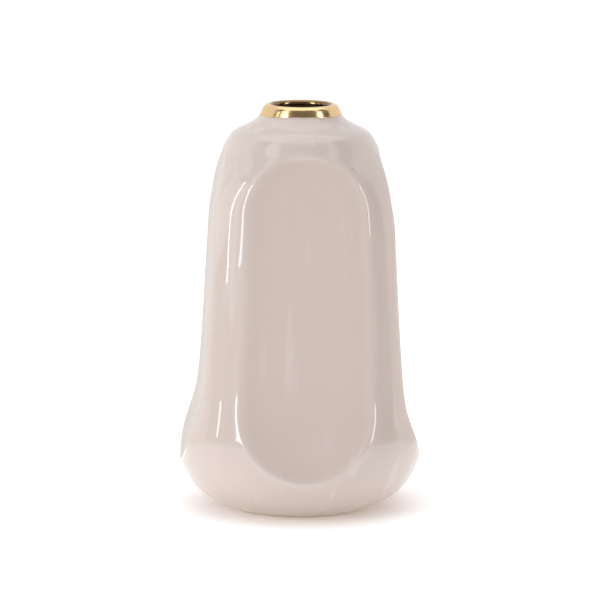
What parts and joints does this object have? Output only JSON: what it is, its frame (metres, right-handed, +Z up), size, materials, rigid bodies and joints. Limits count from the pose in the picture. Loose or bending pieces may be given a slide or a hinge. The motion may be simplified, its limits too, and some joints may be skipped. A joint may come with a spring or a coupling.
{
  "type": "bud vase with pressed panels",
  "caption": "Squat teardrop porcelain vase with a pressed flat panel on each side, blush glaze and a gilded narrow mouth.",
  "frame": {"origin": "on the vase's axis, on the table under the foot ring", "axes": "+Z up along the vase's axis; -Y towards the front, out of the middle of one pressed panel; +X to the right"},
  "size_m": [0.1132, 0.1132, 0.1905],
  "materials": {
    "bisque": "unglazed, ground smooth",
    "blush_glaze": "glossy pearly blush glaze",
    "liner_glaze": "glossy clear glaze",
    "gold": "bright fired gold lustre"
  },
  "bodies": {
    "root": {"porcelain_body": "bisque", "outer_glaze": "blush_glaze", "inner_glaze": "liner_glaze", "base_glaze": "liner_glaze", "gold_lip": "gold"}
  },
  "joints": []
}
